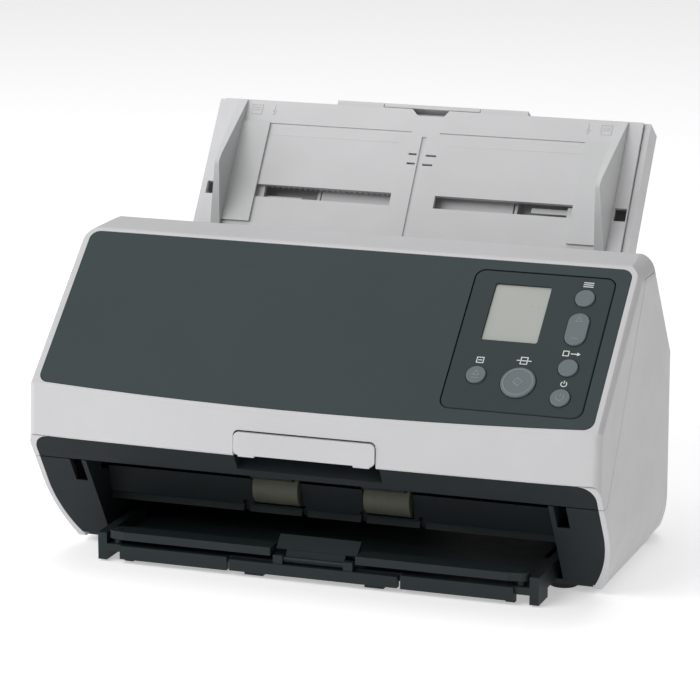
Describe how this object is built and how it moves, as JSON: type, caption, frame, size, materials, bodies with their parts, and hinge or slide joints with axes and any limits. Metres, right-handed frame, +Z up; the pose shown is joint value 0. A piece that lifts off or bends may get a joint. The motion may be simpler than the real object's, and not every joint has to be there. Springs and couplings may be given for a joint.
{
  "type": "sheet fed document scanner",
  "caption": "Desktop sheet fed document scanner with sloping front panel, opening feeder cover, paper chute with sliding guides and pull-out stacker.",
  "frame": {"origin": "on the desk, under the middle of the machine's overall box", "axes": "+X to the machine's right seen from behind, so to the viewer's right in front of it; +Z up; front faces -Y"},
  "size_m": [0.3, 0.2117, 0.2121],
  "materials": {
    "shell_white": "fine satin texture",
    "chute_white": "satin",
    "guide_grey": "satin",
    "panel_dark": "smooth, softly reflecting",
    "control_dark": "smooth, softly reflecting",
    "display": "clear window over a pale display",
    "key_grey": "satin",
    "base_dark": "fine texture",
    "stacker_dark": "fine texture",
    "inner_dark": "moulded",
    "frame_steel": "zinc plated sheet",
    "shaft_steel": "ground",
    "motor_steel": "plated can",
    "bearing_plastic": "natural acetal",
    "belt_rubber": "moulded",
    "roller_rubber": "ground rubber",
    "idler_plastic": "smooth",
    "sensor_body": "moulded",
    "sensor_glass": "clear",
    "circuit_board": "solder resist",
    "connector_black": "moulded",
    "foot_rubber": "moulded"
  },
  "bodies": {
    "base": {"side_cover_right": "shell_white", "side_cover_left": "shell_white", "rear_cover": "shell_white", "hopper_cover": "shell_white", "bottom_plate": "inner_dark", "exit_bezel": "base_dark", "side_frame_right": "frame_steel", "side_frame_left": "frame_steel", "lower_bearings": "bearing_plastic", "lower_paper_guide": "inner_dark", "lower_sensor_unit": "sensor_body", "lower_sensor_glass": "sensor_glass", "hinge_pins": "shaft_steel", "drive_motor": "motor_steel", "drive_belt": "belt_rubber", "main_board": "circuit_board", "rear_connectors": "connector_black", "rubber_feet": "foot_rubber", "base_screws": "shaft_steel", "chute_frame": "chute_white", "chute_plate": "chute_white"},
    "adf_cover": {"adf_cover_shell": "shell_white", "front_panel": "panel_dark", "control_panel": "control_dark", "display_window": "display", "control_board": "circuit_board", "exit_hood": "base_dark", "adf_inner_frame": "inner_dark", "upper_paper_guide": "inner_dark", "upper_sensor_unit": "sensor_body", "upper_sensor_glass": "sensor_glass", "handle_pin": "shaft_steel"},
    "handle": {"release_handle": "shell_white"},
    "menu_key": {"menu_button": "key_grey"},
    "manual_feed_key": {"manual_feed_button": "key_grey"},
    "power_key": {"power_button": "key_grey"},
    "stop_key": {"stop_button": "key_grey"},
    "scan_key": {"scan_button": "key_grey"},
    "rocker_key": {"rocker_button": "key_grey"},
    "pick_drive": {"pick_shaft": "shaft_steel", "pick_rollers": "roller_rubber"},
    "feed_drive": {"feed_shaft": "shaft_steel", "feed_rollers": "roller_rubber"},
    "exit_drive": {"exit_shaft": "shaft_steel", "exit_rollers": "roller_rubber"},
    "motor_drive": {"motor_pulley": "bearing_plastic"},
    "exit_idler": {"exit_idlers": "idler_plastic"},
    "feed_idler": {"feed_idlers": "idler_plastic"},
    "brake": {"brake_shaft": "shaft_steel", "brake_rollers": "roller_rubber"},
    "guide_left": {"side_guide_left": "guide_grey"},
    "guide_right": {"side_guide_right": "guide_grey"},
    "pinion": {"guide_pinion": "bearing_plastic"},
    "extension_outer": {"chute_extension_outer": "chute_white"},
    "extension_inner": {"chute_extension_inner": "chute_white"},
    "tray": {"stacker_tray": "stacker_dark"},
    "tray_extension": {"stacker_extension": "stacker_dark"},
    "end_stop": {"stacker_end_stop": "stacker_dark"},
    "tray_guide_right": {"stacker_guide_right": "stacker_dark"},
    "tray_guide_left": {"stacker_guide_left": "stacker_dark"}
  },
  "joints": [
    {"name": "adf_cover_hinge", "type": "hinge", "parent": "base", "child": "adf_cover", "pos_m": [0, 0.0014, 0.1485], "axis": [-1, 0, 0], "range_deg": [0, 60]},
    {"name": "release_handle_pivot", "type": "hinge", "parent": "adf_cover", "child": "handle", "pos_m": [0, -0.1023, 0.0768], "axis": [-1, 0, 0], "range_deg": [0, 12], "stiffness_Nm_per_rad": 0.05},
    {"name": "menu_press", "type": "slide", "parent": "adf_cover", "child": "menu_key", "axis": [0, 0.6665, -0.7455], "range_m": [0, 0.0008], "stiffness_N_per_m": 400},
    {"name": "manual_feed_press", "type": "slide", "parent": "adf_cover", "child": "manual_feed_key", "axis": [0, 0.6665, -0.7455], "range_m": [0, 0.0008], "stiffness_N_per_m": 400},
    {"name": "power_press", "type": "slide", "parent": "adf_cover", "child": "power_key", "axis": [0, 0.6665, -0.7455], "range_m": [0, 0.0008], "stiffness_N_per_m": 400},
    {"name": "stop_press", "type": "slide", "parent": "adf_cover", "child": "stop_key", "axis": [0, 0.6665, -0.7455], "range_m": [0, 0.0008], "stiffness_N_per_m": 400},
    {"name": "scan_press", "type": "slide", "parent": "adf_cover", "child": "scan_key", "axis": [0, 0.6665, -0.7455], "range_m": [0, 0.0008], "stiffness_N_per_m": 400},
    {"name": "rocker_tilt", "type": "hinge", "parent": "adf_cover", "child": "rocker_key", "pos_m": [0.1247, -0.05342, 0.12961], "axis": [1, 0, 0], "range_deg": [-3, 3], "stiffness_Nm_per_rad": 0.05},
    {"name": "pick_spin", "type": "hinge", "parent": "base", "child": "pick_drive", "pos_m": [0, 0.02138, 0.10581], "axis": [1, 0, 0], "continuous": true},
    {"name": "feed_spin", "type": "hinge", "parent": "base", "child": "feed_drive", "pos_m": [0, -0.00753, 0.08264], "axis": [1, 0, 0], "continuous": true},
    {"name": "exit_spin", "type": "hinge", "parent": "base", "child": "exit_drive", "pos_m": [0, -0.05707, 0.03902], "axis": [1, 0, 0], "continuous": true},
    {"name": "motor_spin", "type": "hinge", "parent": "base", "child": "motor_drive", "pos_m": [0, 0.0189, 0.04], "axis": [1, 0, 0], "continuous": true},
    {"name": "exit_idler_spin", "type": "hinge", "parent": "adf_cover", "child": "exit_idler", "pos_m": [0, -0.0676, 0.0508], "axis": [1, 0, 0], "continuous": true},
    {"name": "feed_idler_spin", "type": "hinge", "parent": "adf_cover", "child": "feed_idler", "pos_m": [0, -0.0184, 0.09479], "axis": [1, 0, 0], "continuous": true},
    {"name": "brake_spin", "type": "hinge", "parent": "adf_cover", "child": "brake", "pos_m": [0, 0.00652, 0.12243], "axis": [1, 0, 0], "continuous": true},
    {"name": "side_guide_left_slide", "type": "slide", "parent": "base", "child": "guide_left", "axis": [1, 0, 0], "range_m": [0, 0.077]},
    {"name": "side_guide_right_slide", "type": "slide", "parent": "base", "child": "guide_right", "axis": [-1, 0, 0], "range_m": [0, 0.077]},
    {"name": "guide_pinion_spin", "type": "hinge", "parent": "base", "child": "pinion", "pos_m": [0, 0.06487, 0.16429], "axis": [0, -0.8181, 0.575], "range_deg": [-1000, 1000]},
    {"name": "chute_extension_outer_slide", "type": "slide", "parent": "base", "child": "extension_outer", "axis": [0, 0.575, 0.8181], "range_m": [0, 0.058]},
    {"name": "chute_extension_inner_slide", "type": "slide", "parent": "extension_outer", "child": "extension_inner", "axis": [0, 0.575, 0.8181], "range_m": [0, 0.055]},
    {"name": "stacker_tray_slide", "type": "slide", "parent": "base", "child": "tray", "axis": [0, -1, 0], "range_m": [0, 0.085]},
    {"name": "stacker_extension_slide", "type": "slide", "parent": "tray", "child": "tray_extension", "axis": [0, -1, 0], "range_m": [0, 0.085]},
    {"name": "stacker_end_stop_pivot", "type": "hinge", "parent": "tray_extension", "child": "end_stop", "pos_m": [0, -0.0905, 0.0116], "axis": [1, 0, 0], "range_deg": [0, 52]},
    {"name": "stacker_guide_right_swing", "type": "hinge", "parent": "tray", "child": "tray_guide_right", "pos_m": [0.1072, -0.0871, 0.013], "axis": [0, 0, 1], "range_deg": [0, 90]},
    {"name": "stacker_guide_left_swing", "type": "hinge", "parent": "tray", "child": "tray_guide_left", "pos_m": [-0.1072, -0.0871, 0.013], "axis": [0, 0, -1], "range_deg": [0, 90]}
  ],
  "couplings": [
    {"joint": "feed_spin", "follows": "pick_spin", "ratio": 1},
    {"joint": "exit_spin", "follows": "pick_spin", "ratio": 1},
    {"joint": "motor_spin", "follows": "pick_spin", "ratio": 1},
    {"joint": "exit_idler_spin", "follows": "pick_spin", "ratio": -1.5833},
    {"joint": "feed_idler_spin", "follows": "pick_spin", "ratio": -1.6667},
    {"joint": "brake_spin", "follows": "pick_spin", "ratio": -1.2},
    {"joint": "side_guide_right_slide", "follows": "side_guide_left_slide", "ratio": 1},
    {"joint": "guide_pinion_spin", "follows": "side_guide_left_slide", "rad_per_m": -200}
  ]
}
